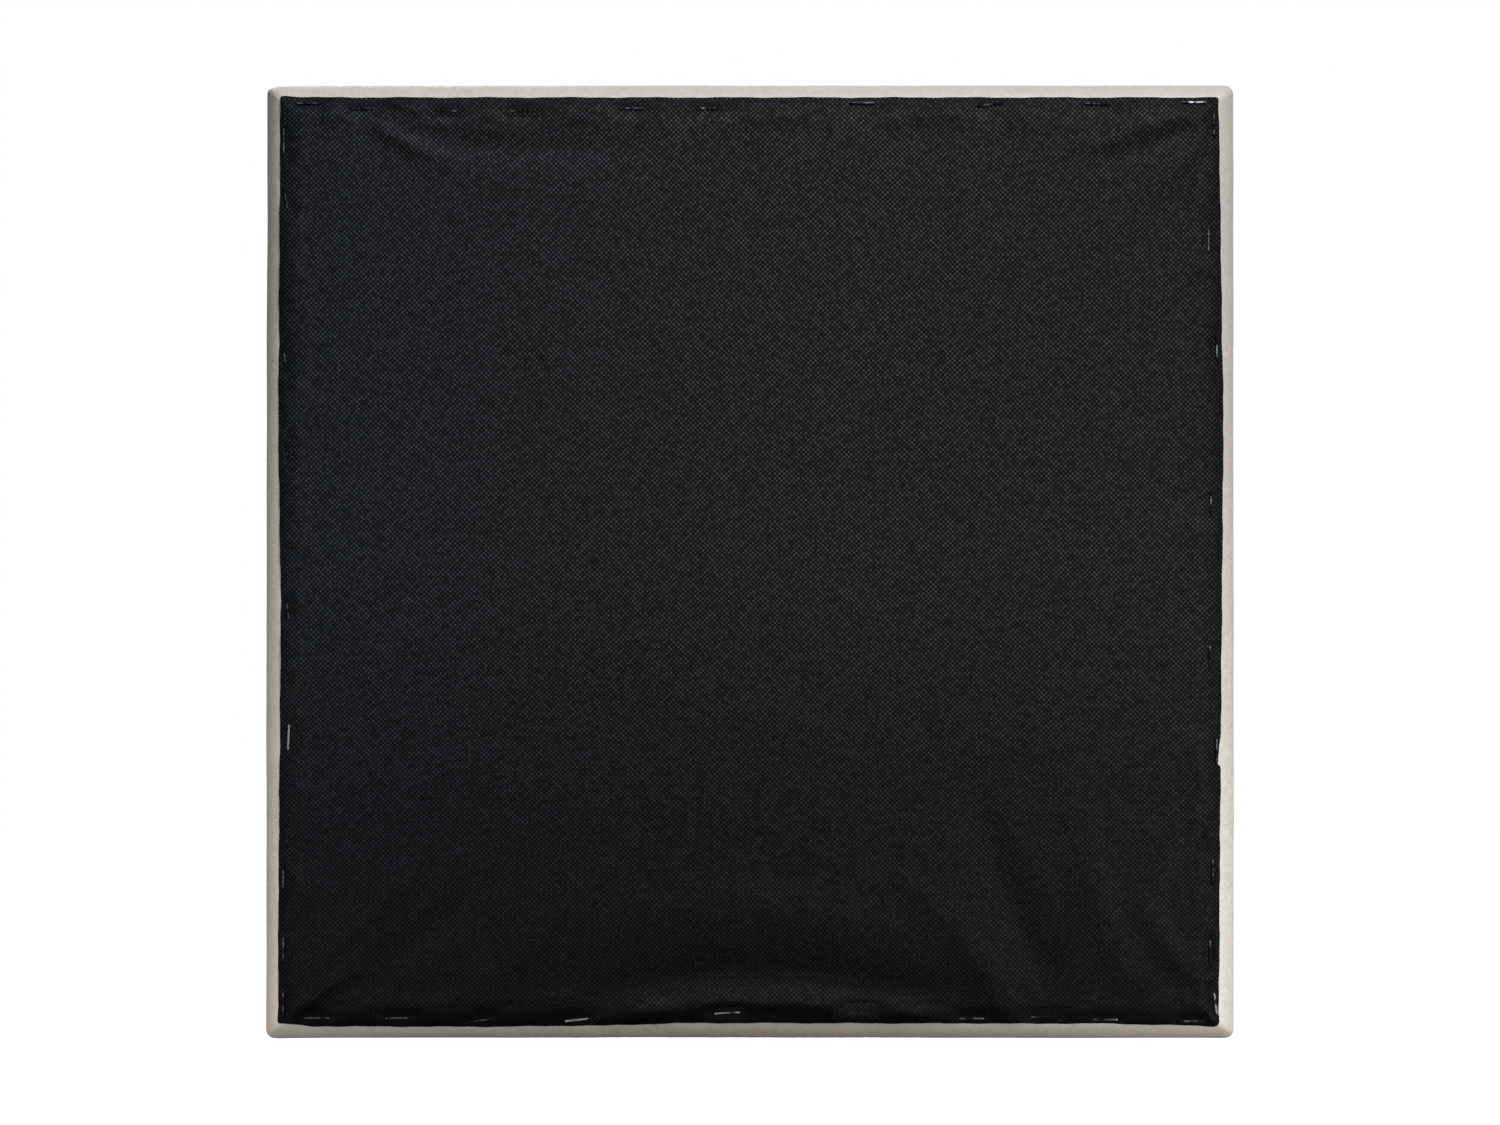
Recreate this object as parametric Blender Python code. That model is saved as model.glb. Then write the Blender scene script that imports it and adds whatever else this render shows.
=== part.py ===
"""Wall punch pad, built the way an upholsterer builds it.

A plywood board carries a firm foam slab and a softer one.  Polyester wadding wraps them, and a
leatherette cover is pulled over the front, turned in behind the board and stapled.  A black dust
cover closes the back, held by its own row of staples close to its edge.

Metres, +Z up.  The wall is the plane y = 0 and the strike face looks along -Y.  "Depth" is the
distance from the wall, and "inset" is the distance in from the pad's outline.
"""

import math

import bmesh
import bpy
from mathutils import Matrix, Vector

MM = 0.001

# The pad's outline and the rounding of its edges
PAD_WIDTH = 400 * MM
PAD_HEIGHT = 394 * MM
BACK_CORNER_RADIUS = 3.7 * MM
FRONT_CORNER_RADIUS = 12 * MM
SMALLEST_CORNER_RADIUS = 0.4 * MM
BACK_ROLL_RADIUS = 4 * MM
FRONT_ROLL_RADIUS = 12 * MM
CROWN = 4 * MM

# The layers, from the wall outwards, each a hair's gap from the next
GAP = 0.3 * MM
DUST_COVER_THICKNESS = 0.8 * MM
LEATHERETTE_THICKNESS = 1.1 * MM
BOARD_THICKNESS = 12 * MM
BASE_FOAM_THICKNESS = 22 * MM
FACE_FOAM_THICKNESS = 10 * MM
WADDING_THICKNESS = 2.5 * MM

DUST_COVER_INSET = 5.3 * MM
DUST_COVER_CORNER_RADIUS = 2 * MM
TURN_IN_WIDTH = 30 * MM

TURN_IN_DEPTH = DUST_COVER_THICKNESS + GAP
BOARD_DEPTH = TURN_IN_DEPTH + LEATHERETTE_THICKNESS + GAP
BASE_FOAM_DEPTH = BOARD_DEPTH + BOARD_THICKNESS + GAP
FACE_FOAM_DEPTH = BASE_FOAM_DEPTH + BASE_FOAM_THICKNESS + GAP
WADDING_INSET = LEATHERETTE_THICKNESS + GAP
CORE_INSET = WADDING_INSET + WADDING_THICKNESS + GAP
EDGE_DEPTH = FACE_FOAM_DEPTH + FACE_FOAM_THICKNESS + CORE_INSET

# How finely the round stretches are divided
CORNER_STEPS = 4
ROLL_STEPS = 5
CROWN_STEPS = 6
CROWN_FLAT = 9 * MM

# Staples: fine wire with rounded edges, an 11 mm crown and two chisel-pointed legs
CROWN_LENGTH = 10.9 * MM
WIRE_WIDTH = 0.8 * MM
WIRE_THICKNESS = 0.6 * MM
WIRE_CHAMFER = 0.2 * MM
BEND_RADIUS = 0.625 * MM
BEND_STEPS = 3
LEG_LENGTH = 8 * MM
POINT_LENGTH = 1.2 * MM
POINT_THICKNESS = 0.15 * MM
STAPLE_RECESS = 0.1 * MM
HOLE_CLEARANCE = 0.3 * MM
HOLE_EXTRA_DEPTH = 0.5 * MM

# Dust cover staples, side by side round the edge.  Each one is (distance along the side from its
# middle, distance in from the dust cover's edge, lean in degrees), in millimetres.  Distances
# along the top and bottom run to +X, and along the two sides to +Z.
DUST_STAPLES = {
    "top": [
        (182, 2.6, 0),
        (160, 4.7, 0),
        (126, 5.9, 0),
        (94, 5.9, 0),
        (49, 4.7, 0),
        (15.5, 4.7, 0),
        (-46.5, 2.4, 0),
        (-99, 3.1, 8),
        (-143, 2.8, -3),
        (-183.5, 2.2, 0),
    ],
    "right": [
        (180.5, 3.4, 0),
        (132, 5.6, 0),
        (88.5, 2.2, 0),
        (24, 4.6, 0),
        (-40, 5, 0),
        (-78.5, 2.2, 0),
        (-128, 3.8, 0),
        (-161.5, 5, 0),
        (-181.5, 2.8, 7),
    ],
    "bottom": [
        (179, 3.5, 0),
        (145, 3.5, 0),
        (112, 2.4, 9),
        (71, 2.8, 6),
        (9.5, 5.7, 3),
        (-45.5, 8, 0),
        (-91.5, 3.3, 0),
        (-121, 3.9, 0),
        (-146.5, 2.9, 0),
        (-182, 2.2, 0),
    ],
    "left": [
        (173.5, 2.5, 0),
        (150.5, 3.2, 10),
        (84, 2.9, 7),
        (46, 4, 7),
        (-19, 4, 7),
        (-72.5, 4.4, -3),
        (-129.5, 2.2, 0),
        (-160.5, 2.2, 0),
        (-183, 2.2, 0),
    ],
}
# Staples that hold the leatherette's turn-in, the same four places on every side
COVER_STAPLE_PLACES = (-130, -43, 43, 130)
COVER_STAPLE_INSET = 21 * MM


def clear_scene():
    for old in list(bpy.data.objects):
        bpy.data.objects.remove(old, do_unlink=True)


def material(name, colour, roughness, metallic=0.0):
    made = bpy.data.materials.new(name)
    made.use_nodes = True
    shader = made.node_tree.nodes["Principled BSDF"]
    shader.inputs["Base Color"].default_value = (*colour, 1)
    shader.inputs["Roughness"].default_value = roughness
    shader.inputs["Metallic"].default_value = metallic
    return made


def mesh_from(bm, name, sharp_degrees):
    """The finished mesh, its faces looking outwards and its round stretches shaded smooth."""
    bmesh.ops.recalc_face_normals(bm, faces=bm.faces)
    mesh = bpy.data.meshes.new(name)
    bm.to_mesh(mesh)
    bm.free()
    mesh.shade_smooth()
    mesh.set_sharp_from_angle(angle=math.radians(sharp_degrees))
    return mesh


def place(name, mesh, finish):
    if not mesh.materials:
        mesh.materials.append(finish)
    made = bpy.data.objects.new(name, mesh)
    bpy.context.scene.collection.objects.link(made)
    return made


def ring(bm, inset, depth, corner):
    """A rounded rectangle of vertices, `inset` inside the pad's outline at one depth."""
    half_width = PAD_WIDTH / 2 - inset
    half_height = PAD_HEIGHT / 2 - inset
    radius = min(corner, 0.6 * half_height)
    vertices = []
    for quarter in range(4):
        side_x = 1 if quarter in (0, 3) else -1
        side_z = 1 if quarter in (0, 1) else -1
        centre_x = side_x * (half_width - radius)
        centre_z = side_z * (half_height - radius)
        for step in range(CORNER_STEPS + 1):
            angle = math.radians(90) * (quarter + step / CORNER_STEPS)
            x = centre_x + radius * math.cos(angle)
            z = centre_z + radius * math.sin(angle)
            vertices.append(bm.verts.new((x, -depth, z)))
    return vertices


def loft(name, stations, finish):
    """A closed solid through rounded rectangles, one after another, with both ends filled."""
    bm = bmesh.new()
    rings = [ring(bm, *station) for station in stations]
    count = len(rings[0])
    for near, far in zip(rings, rings[1:]):
        for index in range(count):
            following = (index + 1) % count
            bm.faces.new((near[index], near[following], far[following], far[index]))
    bm.faces.new(rings[0])
    bm.faces.new(rings[-1])
    return place(name, mesh_from(bm, name, 35), finish)


def back_roll():
    """The cover's outside over the pad's back edge: (inset, depth, corner, side, front).

    The last two are the outward normal's share towards the side and towards the front.
    """
    stations = []
    for step in range(ROLL_STEPS + 1):
        angle = math.radians(90) * (step / ROLL_STEPS - 1)
        side = math.cos(angle)
        front = math.sin(angle)
        inset = BACK_ROLL_RADIUS * (1 - side)
        depth = TURN_IN_DEPTH + BACK_ROLL_RADIUS * (1 + front)
        corner = max(BACK_CORNER_RADIUS - inset, SMALLEST_CORNER_RADIUS)
        stations.append((inset, depth, corner, side, front))
    return stations


def front_roll_and_face():
    """The cover's outside over the front edge and the crowned strike face, edge to middle."""
    stations = []
    for step in range(ROLL_STEPS + 1):
        share = step / ROLL_STEPS
        angle = math.radians(90) * share
        side = math.cos(angle)
        front = math.sin(angle)
        inset = FRONT_ROLL_RADIUS * (1 - side)
        depth = EDGE_DEPTH - FRONT_ROLL_RADIUS * (1 - front)
        corner = BACK_CORNER_RADIUS + share * (FRONT_CORNER_RADIUS - BACK_CORNER_RADIUS)
        stations.append((inset, depth, corner, side, front))
    face_width = PAD_HEIGHT / 2 - CROWN_FLAT - FRONT_ROLL_RADIUS
    for step in range(1, CROWN_STEPS + 1):
        share = step / CROWN_STEPS
        inset = FRONT_ROLL_RADIUS + face_width * share
        depth = EDGE_DEPTH + CROWN * (1 - (1 - share) ** 2)
        stations.append((inset, depth, FRONT_CORNER_RADIUS, 0, 1))
    return stations


def inwards(stations, distance):
    """The same surface moved into the pad, as (inset, depth, corner) stations for a loft."""
    moved = []
    for inset, depth, corner, side, front in stations:
        new_corner = max(corner - distance * side, SMALLEST_CORNER_RADIUS)
        moved.append((inset + distance * side, depth - distance * front, new_corner))
    return moved


def make_dust_cover():
    """Spunbond sheet that closes the back; its outer face is what lies on the wall."""
    finish = material("black_spunbond", (0.016, 0.015, 0.018), 0.85)
    stations = [
        (DUST_COVER_INSET, 0, DUST_COVER_CORNER_RADIUS),
        (DUST_COVER_INSET, DUST_COVER_THICKNESS, DUST_COVER_CORNER_RADIUS),
    ]
    return loft("dust_cover", stations, finish)


def make_leatherette_cover():
    """One skin over the front, the sides and the back edge, with its turn-in behind the board."""
    finish = material("greige_leatherette", (0.578, 0.552, 0.515), 0.5)
    turn_in_edge = [(TURN_IN_WIDTH, TURN_IN_DEPTH, SMALLEST_CORNER_RADIUS, 0, -1)]
    surface = turn_in_edge + back_roll() + front_roll_and_face()
    inside = inwards(surface, LEATHERETTE_THICKNESS)
    return loft("leatherette_cover", inside[::-1] + inwards(surface, 0), finish)


def make_wadding_wrap():
    """Thin polyester wadding over the foam and round the board's edge, open at the back."""
    finish = material("white_wadding", (0.82, 0.82, 0.80), 0.95)
    surface = back_roll() + front_roll_and_face()
    inside = inwards(surface, WADDING_INSET + WADDING_THICKNESS)
    return loft("wadding_wrap", inside[::-1] + inwards(surface, WADDING_INSET), finish)


def make_slab(name, depth, thickness, finish):
    """A flat slab cut to the size of the core."""
    stations = [
        (CORE_INSET, depth, SMALLEST_CORNER_RADIUS),
        (CORE_INSET, depth + thickness, SMALLEST_CORNER_RADIUS),
    ]
    return loft(name, stations, finish)


def make_backing_board():
    finish = material("birch_plywood", (0.48, 0.33, 0.19), 0.65)
    return make_slab("backing_board", BOARD_DEPTH, BOARD_THICKNESS, finish)


def make_base_foam():
    finish = material("charcoal_foam", (0.10, 0.10, 0.11), 0.9)
    return make_slab("base_foam", BASE_FOAM_DEPTH, BASE_FOAM_THICKNESS, finish)


def make_face_foam():
    """The softer slab behind the strike face, with rounded edges and a low crown."""
    finish = material("cream_foam", (0.74, 0.67, 0.47), 0.9)
    back = [(CORE_INSET, FACE_FOAM_DEPTH, SMALLEST_CORNER_RADIUS)]
    return loft("face_foam", back + inwards(front_roll_and_face(), CORE_INSET), finish)


def staple_path():
    """Half of a staple's centre line, tip to crown: (x, depth, turn in degrees, thickness)."""
    leg_x = CROWN_LENGTH / 2 - WIRE_THICKNESS / 2
    crown_depth = WIRE_THICKNESS / 2
    path = [
        (leg_x, LEG_LENGTH, 0, POINT_THICKNESS),
        (leg_x, LEG_LENGTH - POINT_LENGTH, 0, WIRE_THICKNESS),
    ]
    for step in range(BEND_STEPS + 1):
        turn = 90 * step / BEND_STEPS
        x = leg_x - BEND_RADIUS * (1 - math.cos(math.radians(turn)))
        depth = crown_depth + BEND_RADIUS * (1 - math.sin(math.radians(turn)))
        path.append((x, depth, turn, WIRE_THICKNESS))
    return path


def wire_section(bm, x, depth, turn, thickness):
    """Eight vertices round the wire: a bar with wide chamfers, square to the centre line."""
    half_width = WIRE_WIDTH / 2
    half_thick = thickness / 2
    chamfer = min(WIRE_CHAMFER, half_thick / 2)
    outline = [
        (half_thick, half_width - chamfer),
        (half_thick - chamfer, half_width),
        (chamfer - half_thick, half_width),
        (-half_thick, half_width - chamfer),
        (-half_thick, chamfer - half_width),
        (chamfer - half_thick, -half_width),
        (half_thick - chamfer, -half_width),
        (half_thick, chamfer - half_width),
    ]
    out_x = math.cos(math.radians(turn))
    out_y = math.sin(math.radians(turn))
    return [bm.verts.new((x + out * out_x, out * out_y - depth, across)) for out, across in outline]


def make_staple_mesh():
    """One staple: crown along X with its outer face at y = 0, legs along -Y."""
    bm = bmesh.new()
    half = staple_path()
    mirrored = [(-x, depth, 180 - turn, thickness) for x, depth, turn, thickness in half[::-1]]
    sections = [wire_section(bm, *station) for station in half + mirrored]
    for near, far in zip(sections, sections[1:]):
        for index in range(len(near)):
            following = (index + 1) % len(near)
            bm.faces.new((near[index], near[following], far[following], far[index]))
    bm.faces.new(sections[0])
    bm.faces.new(sections[-1])
    return mesh_from(bm, "staple", 60)


def edge_pose(side, along, inset, lean):
    """A staple's position and turn about Y, `inset` in from the pad's outline on one side."""
    half_width = PAD_WIDTH / 2 - inset
    half_height = PAD_HEIGHT / 2 - inset
    poses = {
        "top": ((along, half_height), 0),
        "bottom": ((along, -half_height), 0),
        "left": ((half_width, along), 90),
        "right": ((-half_width, along), 90),
    }
    (x, z), turn = poses[side]
    return x, z, math.radians(turn + lean)


def staple_poses():
    """Every staple as (name, x, z, turn, depth of its crown), dust cover staples first."""
    poses = []
    for side, row in DUST_STAPLES.items():
        for number, (along, inset, lean) in enumerate(row, start=1):
            pose = edge_pose(side, along * MM, DUST_COVER_INSET + inset * MM, lean)
            poses.append((f"dust_staple_{side}_{number:02d}", *pose, STAPLE_RECESS))
    for side in DUST_STAPLES:
        for number, along in enumerate(COVER_STAPLE_PLACES, start=1):
            pose = edge_pose(side, along * MM, COVER_STAPLE_INSET, 0)
            crown_depth = TURN_IN_DEPTH + STAPLE_RECESS
            poses.append((f"cover_staple_{side}_{number}", *pose, crown_depth))
    return poses


def make_staples(poses):
    finish = material("zinc_steel", (0.50, 0.51, 0.53), 0.35, metallic=1.0)
    mesh = make_staple_mesh()
    for name, x, z, turn, crown_depth in poses:
        staple = place(name, mesh, finish)
        staple.location = (x, -crown_depth, z)
        staple.rotation_euler = (0, turn, 0)


def box_cutter(name, boxes):
    """Separate boxes in one hidden object, each (x, z, turn, shift, length, width, near, far)."""
    bm = bmesh.new()
    for x, z, turn, shift, length, width, near, far in boxes:
        size = Matrix.Diagonal(Vector((length, far - near, width, 1)))
        move = Matrix.Translation((x, -(near + far) / 2, z))
        matrix = move @ Matrix.Rotation(turn, 4, "Y") @ Matrix.Translation((shift, 0, 0)) @ size
        bmesh.ops.create_cube(bm, size=1, matrix=matrix)
    mesh = bpy.data.meshes.new(name)
    bm.to_mesh(mesh)
    bm.free()
    cutter = bpy.data.objects.new(name, mesh)
    bpy.context.scene.collection.objects.link(cutter)
    cutter.hide_render = True
    cutter.display_type = "WIRE"
    return cutter


def crown_slots(poses, near, far):
    """A slot round each staple's crown between two depths."""
    length = CROWN_LENGTH + 2 * HOLE_CLEARANCE
    width = WIRE_WIDTH + 2 * HOLE_CLEARANCE
    return [(x, z, turn, 0, length, width, near, far) for _, x, z, turn, _ in poses]


def leg_holes(poses, near):
    """Two holes for each staple's legs, from one depth to just past the leg's point."""
    length = WIRE_THICKNESS + 2 * HOLE_CLEARANCE
    width = WIRE_WIDTH + 2 * HOLE_CLEARANCE
    leg_x = CROWN_LENGTH / 2 - WIRE_THICKNESS / 2
    holes = []
    for _, x, z, turn, crown_depth in poses:
        far = crown_depth + LEG_LENGTH + HOLE_EXTRA_DEPTH
        for shift in (-leg_x, leg_x):
            holes.append((x, z, turn, shift, length, width, near, far))
    return holes


def cut(target, cutter):
    modifier = target.modifiers.new(cutter.name, "BOOLEAN")
    modifier.operation = "DIFFERENCE"
    modifier.solver = "EXACT"
    modifier.object = cutter


def main():
    clear_scene()
    dust_cover = make_dust_cover()
    leatherette_cover = make_leatherette_cover()
    make_wadding_wrap()
    make_face_foam()
    make_base_foam()
    backing_board = make_backing_board()

    poses = staple_poses()
    make_staples(poses)
    dust_poses = [pose for pose in poses if pose[0].startswith("dust")]
    cover_poses = [pose for pose in poses if pose[0].startswith("cover")]

    above = -GAP
    below_dust_cover = DUST_COVER_THICKNESS + GAP / 2
    above_board = BOARD_DEPTH - GAP / 2
    cut(dust_cover, box_cutter("cut_dust_slots", crown_slots(dust_poses, above, below_dust_cover)))
    turn_in_cuts = leg_holes(dust_poses, below_dust_cover)
    turn_in_cuts += crown_slots(cover_poses, below_dust_cover, above_board)
    cut(leatherette_cover, box_cutter("cut_turn_in", turn_in_cuts))
    cut(backing_board, box_cutter("cut_leg_holes", leg_holes(poses, above_board)))


main()
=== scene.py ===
import math

import bpy
import numpy as np
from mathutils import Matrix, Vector, kdtree, noise


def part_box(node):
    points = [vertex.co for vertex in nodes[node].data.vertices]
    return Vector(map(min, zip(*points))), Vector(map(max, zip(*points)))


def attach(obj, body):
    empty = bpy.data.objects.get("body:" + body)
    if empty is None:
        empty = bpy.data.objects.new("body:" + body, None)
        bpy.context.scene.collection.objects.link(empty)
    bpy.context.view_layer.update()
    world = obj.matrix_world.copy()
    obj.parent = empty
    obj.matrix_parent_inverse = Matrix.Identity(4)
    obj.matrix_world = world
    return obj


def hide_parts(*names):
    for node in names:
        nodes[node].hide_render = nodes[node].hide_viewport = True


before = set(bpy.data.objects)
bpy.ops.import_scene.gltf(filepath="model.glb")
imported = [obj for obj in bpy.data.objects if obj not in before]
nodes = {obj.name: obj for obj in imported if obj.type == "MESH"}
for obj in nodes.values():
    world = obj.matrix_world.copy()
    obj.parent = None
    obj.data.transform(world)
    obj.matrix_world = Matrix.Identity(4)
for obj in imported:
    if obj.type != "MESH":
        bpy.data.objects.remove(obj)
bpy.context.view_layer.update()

MM = 0.001


# ---------------------------------------------------------------------------------------------
# Backing board.  Birch plywood, 12 mm, nine plies.  Everything else is stapled to it, and its
# back lies against the wall behind the dust cover.

def new_material(name):
    made = bpy.data.materials.new(name)
    made.use_nodes = True
    return made, made.node_tree.nodes, made.node_tree.links


def add(tree_nodes, kind, **settings):
    """A shader node with its properties and numbered inputs set."""
    node = tree_nodes.new(kind)
    for key, value in settings.items():
        if key.startswith("in_"):
            node.inputs[int(key[3:])].default_value = value
        else:
            setattr(node, key, value)
    return node


def ramp(tree_nodes, *stops):
    """A colour ramp through (position, (r, g, b)) stops."""
    node = tree_nodes.new("ShaderNodeValToRGB")
    elements = node.color_ramp.elements
    while len(elements) < len(stops):
        elements.new(0.5)
    for element, (position, colour) in zip(elements, stops):
        element.position = position
        element.color = (*colour, 1)
    return node


PLY_PAIR = 2.67 * MM                   # two plies, one along the grain and one across it
plywood, n, link = new_material("birch_plywood")
shader = n["Principled BSDF"]
place = add(n, "ShaderNodeTexCoord")
stretch = add(n, "ShaderNodeMapping")
stretch.inputs["Scale"].default_value = (6, 60, 90)
grain = add(n, "ShaderNodeTexNoise")
grain.inputs["Scale"].default_value = 1.0
grain.inputs["Detail"].default_value = 8
grain.inputs["Distortion"].default_value = 0.6
veneer = ramp(n, (0.3, (0.36, 0.23, 0.12)), (0.7, (0.58, 0.42, 0.26)))
split = add(n, "ShaderNodeSeparateXYZ")
plies = add(n, "ShaderNodeMath", operation="MULTIPLY", in_1=2 * math.pi / PLY_PAIR)
band = add(n, "ShaderNodeMath", operation="SINE")
ply_tone = add(n, "ShaderNodeMapRange", in_1=-1.0, in_2=1.0, in_3=0.72, in_4=1.0)
shade = add(n, "ShaderNodeMix", data_type="RGBA", blend_type="MULTIPLY", in_0=1.0)
link.new(place.outputs["Object"], stretch.inputs["Vector"])
link.new(stretch.outputs["Vector"], grain.inputs["Vector"])
link.new(grain.outputs["Fac"], veneer.inputs["Fac"])
link.new(place.outputs["Object"], split.inputs["Vector"])
link.new(split.outputs["Y"], plies.inputs[0])
link.new(plies.outputs[0], band.inputs[0])
link.new(band.outputs[0], ply_tone.inputs[0])
link.new(veneer.outputs["Color"], shade.inputs["A"])
link.new(ply_tone.outputs[0], shade.inputs["B"])
link.new(shade.outputs["Result"], shader.inputs["Base Color"])
ply_bump = add(n, "ShaderNodeBump")
ply_bump.inputs["Strength"].default_value = 0.25
ply_bump.inputs["Distance"].default_value = 0.2 * MM
link.new(grain.outputs["Fac"], ply_bump.inputs["Height"])
link.new(ply_bump.outputs["Normal"], shader.inputs["Normal"])
shader.inputs["Roughness"].default_value = 0.65


def finished(piece, material, slot, *replaced):
    """The last steps for every new piece: its material, its body and its CAD solid. The slot is not
    used.
    """
    piece.data.materials.clear()
    piece.data.materials.append(material)
    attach(piece, "root")
    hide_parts(*replaced)


def rounded_slab(name, low, high, places, radius, segments):
    """A slab rounded along the edges where places(the edge's middle) is true, square elsewhere."""
    bpy.ops.object.select_all(action="DESELECT")
    bpy.ops.mesh.primitive_cube_add(size=1, location=(low + high) / 2, scale=high - low)
    slab = bpy.context.object
    slab.name = name
    bpy.ops.object.transform_apply(location=True, rotation=False, scale=True)
    bpy.ops.object.mode_set(mode="EDIT")
    bpy.ops.mesh.select_mode(type="EDGE")
    bpy.ops.mesh.select_all(action="DESELECT")
    bpy.ops.object.mode_set(mode="OBJECT")
    for edge in slab.data.edges:
        ends = [slab.data.vertices[i].co for i in edge.vertices]
        edge.select = places((ends[0] + ends[1]) / 2)
    bpy.ops.object.mode_set(mode="EDIT")
    bpy.ops.mesh.bevel(offset=radius, segments=segments, affect="EDGES")
    bpy.ops.object.mode_set(mode="OBJECT")
    bpy.ops.object.shade_smooth_by_angle(angle=math.radians(35))
    return slab


# The board's wall-side edges are rounded over, so that the cover doesn't wear through on them
BOARD_ROUNDING = 4.5 * MM
low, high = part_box("backing_board")
board = rounded_slab("backing_board_plywood", low, high, lambda middle: middle.y > high.y - 1 * MM,
                     BOARD_ROUNDING, 6)
finished(board, plywood, "birch_plywood", "backing_board")


# ---------------------------------------------------------------------------------------------
# Base foam.  A firm slab of charcoal cross-linked foam that takes the blow.  It is sawn from a
# block and glued to the board, so its edges are square with a slight crush.

def foam_material(name, pale, pore_shade, pore):
    """Cut foam: a fine field of open cells, each painted a little deeper in its middle than at its
    walls, as painted shade in the pore.
    """
    made, n, link = new_material(name)
    shader = n["Principled BSDF"]
    place = add(n, "ShaderNodeTexCoord")
    cells = add(n, "ShaderNodeTexVoronoi", feature="F1")
    cells.inputs["Scale"].default_value = 1 / pore
    tone = ramp(n, (0.05, pore_shade), (0.55, pale))
    bump = add(n, "ShaderNodeBump")
    bump.inputs["Strength"].default_value = 0.6
    bump.inputs["Distance"].default_value = pore / 2
    link.new(place.outputs["Object"], cells.inputs["Vector"])
    link.new(cells.outputs["Distance"], tone.inputs["Fac"])
    link.new(cells.outputs["Distance"], bump.inputs["Height"])
    link.new(tone.outputs["Color"], shader.inputs["Base Color"])
    link.new(bump.outputs["Normal"], shader.inputs["Normal"])
    shader.inputs["Roughness"].default_value = 0.9
    return made


FOAM_CRUSH = 1.5 * MM
low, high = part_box("base_foam")
base_foam = rounded_slab("base_foam_slab", low, high, lambda middle: True, FOAM_CRUSH, 3)
charcoal_foam = foam_material("charcoal_foam", (0.11, 0.11, 0.12), (0.04, 0.04, 0.045), 0.5 * MM)
finished(base_foam, charcoal_foam, "charcoal_foam", "base_foam")


# ---------------------------------------------------------------------------------------------
# Face foam.  A softer cream slab behind the strike face.  Its front edge is rounded and its
# middle stands a little proud, so that the cover pulls over it without a hollow.

# The pad's own outline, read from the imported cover
cover_low, cover_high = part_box("leatherette_cover")
PAD_HALF_WIDTH = (cover_high.x - cover_low.x) / 2
PAD_HALF_HEIGHT = (cover_high.z - cover_low.z) / 2
FRONT_DEPTH = -cover_low.y
CROWN = 4 * MM
EDGE_DEPTH = FRONT_DEPTH - CROWN
FRONT_ROLL = 12 * MM
FRONT_CORNER = 12 * MM
BACK_CORNER = 3.7 * MM
SHARPEST_CORNER = 0.4 * MM
MIDDLE_GAP = 1 * MM                    # the last ring of the face stops short of the middle by this


def perimeter(arc_steps, side_steps):
    """Places round the outline, 0 to 4: in each quarter a corner arc fills the first fifth."""
    arc = np.linspace(0, 0.2, arc_steps, endpoint=False)
    side = 0.2 + 0.8 * np.asarray(side_steps)
    return np.concatenate([quarter + np.concatenate([arc, side]) for quarter in range(4)])


def ring_points(places, inset, depth, corner):
    """Points of a rounded rectangle `inset` inside the outline, at these places round it."""
    half_width = PAD_HALF_WIDTH - inset
    half_height = PAD_HALF_HEIGHT - inset
    radius = min(corner, 0.6 * half_height)
    quarter = np.floor(places).astype(int)
    share = places - quarter
    centre_x = np.where((quarter == 0) | (quarter == 3), 1, -1) * (half_width - radius)
    centre_z = np.where(quarter < 2, 1, -1) * (half_height - radius)
    turn = np.radians(90) * (quarter + np.clip(share / 0.2, 0, 1))
    x = centre_x + radius * np.cos(turn)
    z = centre_z + radius * np.sin(turn)
    after = (quarter + 1) % 4
    next_x = np.where((after == 0) | (after == 3), 1, -1) * (half_width - radius)
    next_z = np.where(after < 2, 1, -1) * (half_height - radius)
    along = np.clip((share - 0.2) / 0.8, 0, 1)
    x = x + along * (next_x - centre_x)
    z = z + along * (next_z - centre_z)
    return np.stack([x, np.full_like(x, -depth), z], axis=1)


def front_roll(steps, faces):
    """The strike face's profile, edge to middle: (inset, depth, corner, side, front), where the
    last two are how far the surface faces sideways and forwards."""
    stations = []
    for step in range(steps + 1):
        turn = math.radians(90) * step / steps
        inset = FRONT_ROLL * (1 - math.cos(turn))
        depth = EDGE_DEPTH - FRONT_ROLL * (1 - math.sin(turn))
        corner = BACK_CORNER + (FRONT_CORNER - BACK_CORNER) * step / steps
        stations.append((inset, depth, corner, math.cos(turn), math.sin(turn)))
    width = PAD_HALF_HEIGHT - MIDDLE_GAP - FRONT_ROLL
    for step in range(1, faces + 1):
        share = (step / faces) ** 1.25
        depth = EDGE_DEPTH + CROWN * (1 - (1 - share) ** 2)
        stations.append((FRONT_ROLL + width * share, depth, FRONT_CORNER, 0, 1))
    return stations


def inwards(stations, distance):
    """The profile moved into the pad by a distance, as (inset, depth, corner) for ring_points."""
    moved = []
    for inset, depth, corner, side, front in stations:
        smaller = max(corner - distance * side, SHARPEST_CORNER)
        moved.append((inset + distance * side, depth - distance * front, smaller))
    return moved


def face_outwards(piece):
    """Selects this piece alone and turns all its faces outwards."""
    bpy.ops.object.select_all(action="DESELECT")
    bpy.context.view_layer.objects.active = piece
    piece.select_set(True)
    bpy.ops.object.mode_set(mode="EDIT")
    bpy.ops.mesh.select_all(action="SELECT")
    bpy.ops.mesh.normals_make_consistent(inside=False)
    bpy.ops.object.mode_set(mode="OBJECT")


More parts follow.
